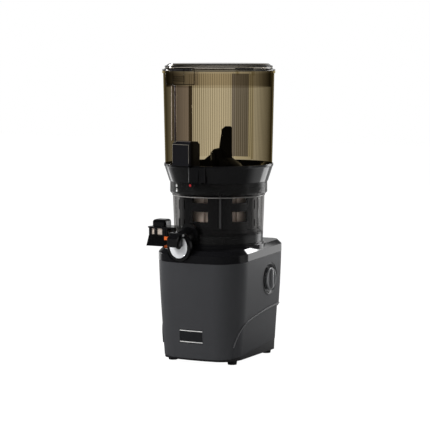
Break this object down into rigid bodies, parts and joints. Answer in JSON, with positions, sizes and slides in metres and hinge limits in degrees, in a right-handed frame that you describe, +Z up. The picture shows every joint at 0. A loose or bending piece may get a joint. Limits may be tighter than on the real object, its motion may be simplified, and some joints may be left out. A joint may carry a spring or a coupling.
{
  "type": "slow juicer",
  "caption": "Tall slow juicer: clear smoke hopper with hinged lid over a black funnel and juicing drum with auger, strainer, juice spout and pulp chute, on a matte base with a side knob.",
  "frame": {"origin": "centre of the bounding box's footprint, on the floor under the feet", "axes": "+Z up; the front with the juice cap faces -Y; the control knob is on +X and the pulp chute on -X"},
  "size_m": [0.226, 0.2244, 0.5],
  "materials": {
    "matte_black": "fine matte texture",
    "gloss_black": "high gloss",
    "badge": "satin, blank",
    "foot_rubber": "matte",
    "switch_black": "moulded",
    "motor_steel": "satin",
    "stator_iron": "laminated",
    "housing_grey": "moulded",
    "bronze": "sintered",
    "seal_black": "soft",
    "seal_grey": "silicone",
    "board_green": "solder mask",
    "fastener": "plated",
    "gear_steel": "ground",
    "gear_nylon": "natural",
    "smoke_hopper": "clear smoke bronze",
    "smoke_drum": "clear smoke grey",
    "cap_silver": "polished",
    "strainer_black": "moulded",
    "strainer_steel": "fine mesh",
    "auger_black": "moulded",
    "mark_red": "printed",
    "silicone_orange": "silicone"
  },
  "bodies": {
    "base": {"body_shell": "matte_black", "deck": "gloss_black", "bottom_cover": "matte_black", "rubber_feet": "foot_rubber", "badge_plate": "badge", "knob_bezel": "matte_black", "rotary_switch": "switch_black", "motor_can": "motor_steel", "motor_stator": "stator_iron", "gearbox_housing": "housing_grey", "gearbox_cover": "housing_grey", "output_bushing": "bronze", "shaft_seal": "seal_black", "control_board": "board_green", "base_screws": "fastener", "cord_gland": "seal_black"},
    "knob": {"control_knob": "gloss_black"},
    "motor": {"motor_rotor": "motor_steel", "motor_pinion": "gear_steel", "cooling_fan": "housing_grey"},
    "lay": {"layshaft": "gear_steel", "first_wheel": "gear_nylon", "second_pinion": "gear_steel"},
    "output": {"drive_shaft": "gear_steel", "output_wheel": "gear_nylon"},
    "drum": {"drum": "smoke_drum", "juice_spout": "gloss_black", "juice_cap": "gloss_black", "cap_disc": "cap_silver", "lever_pin": "fastener", "pulp_chute": "smoke_drum", "chute_cover": "gloss_black", "drum_seal": "seal_black", "strainer_frame": "strainer_black", "strainer_mesh": "strainer_steel", "lock_mark": "mark_red"},
    "auger": {"auger": "auger_black", "feed_rotor": "gloss_black", "rotor_blade": "fastener"},
    "brush": {"brush_frame": "strainer_black", "wiper_blades": "seal_grey"},
    "idler": {"idler_gear": "gear_nylon"},
    "hopper": {"hopper": "smoke_hopper", "hopper_collar": "gloss_black", "interlock_housing": "gloss_black", "interlock_spring": "fastener", "lock_tab": "gloss_black", "hopper_seal": "seal_grey", "hinge_pin": "fastener"},
    "lid": {"lid": "smoke_hopper", "lid_seal": "seal_black", "latch_pin": "fastener"},
    "latch": {"lid_latch": "smoke_hopper"},
    "rod": {"interlock_rod": "fastener"},
    "lever": {"cap_lever": "gloss_black", "cap_plug": "silicone_orange"},
    "gate": {"pulp_gate": "silicone_orange"}
  },
  "joints": [
    {"name": "knob_turn", "type": "hinge", "parent": "base", "child": "knob", "pos_m": [0.09695, 0.04278, 0.135], "axis": [1, 0, 0], "range_deg": [-45, 45]},
    {"name": "drum_lift", "type": "slide", "parent": "base", "child": "drum", "axis": [0, 0, 1], "range_m": [0, 0.06]},
    {"name": "auger_spin", "type": "hinge", "parent": "drum", "child": "auger", "pos_m": [0.01735, 0.00778, 0.26], "axis": [0, 0, 1], "continuous": true},
    {"name": "output_spin", "type": "hinge", "parent": "base", "child": "output", "pos_m": [0.01735, 0.00778, 0.18], "axis": [0, 0, 1], "continuous": true},
    {"name": "lay_spin", "type": "hinge", "parent": "base", "child": "lay", "pos_m": [0.01735, 0.04378, 0.12], "axis": [0, 0, 1], "continuous": true},
    {"name": "motor_spin", "type": "hinge", "parent": "base", "child": "motor", "pos_m": [0.01735, 0.00778, 0.07], "axis": [0, 0, 1], "continuous": true},
    {"name": "idler_spin", "type": "hinge", "parent": "drum", "child": "idler", "pos_m": [0.0541, 0.00778, 0.2165], "axis": [0, 0, 1], "continuous": true},
    {"name": "brush_spin", "type": "hinge", "parent": "drum", "child": "brush", "pos_m": [0.01735, 0.00778, 0.25], "axis": [0, 0, 1], "continuous": true},
    {"name": "hopper_twist", "type": "hinge", "parent": "drum", "child": "hopper", "pos_m": [0.01735, 0.00778, 0.3023], "axis": [0, 0, 1], "range_deg": [0, 24]},
    {"name": "lid_hinge", "type": "hinge", "parent": "hopper", "child": "lid", "pos_m": [0.01735, 0.10778, 0.489], "axis": [-1, 0, 0], "range_deg": [0, 100]},
    {"name": "latch_tilt", "type": "hinge", "parent": "lid", "child": "latch", "pos_m": [-0.00503, -0.08917, 0.491], "axis": [-0.9744, 0.225, 0], "range_deg": [0, 25]},
    {"name": "rod_slide", "type": "slide", "parent": "hopper", "child": "rod", "axis": [0, 0, 1], "range_m": [-0.004, 0], "stiffness_N_per_m": 150, "springref_m": 0.002, "deforming": ["interlock_spring"]},
    {"name": "lever_lift", "type": "hinge", "parent": "drum", "child": "lever", "pos_m": [-0.00699, -0.09764, 0.2177], "axis": [-0.9744, 0.225, 0], "range_deg": [0, 70]},
    {"name": "gate_swing", "type": "hinge", "parent": "drum", "child": "gate", "pos_m": [-0.07265, 0.00778, 0.214], "axis": [0, 1, 0], "range_deg": [0, 60]}
  ],
  "couplings": [
    {"joint": "output_spin", "follows": "auger_spin", "ratio": 1},
    {"joint": "lay_spin", "follows": "auger_spin", "ratio": -5},
    {"joint": "motor_spin", "follows": "auger_spin", "ratio": 25},
    {"joint": "idler_spin", "follows": "auger_spin", "ratio": -0.96},
    {"joint": "brush_spin", "follows": "auger_spin", "ratio": -0.32432}
  ]
}
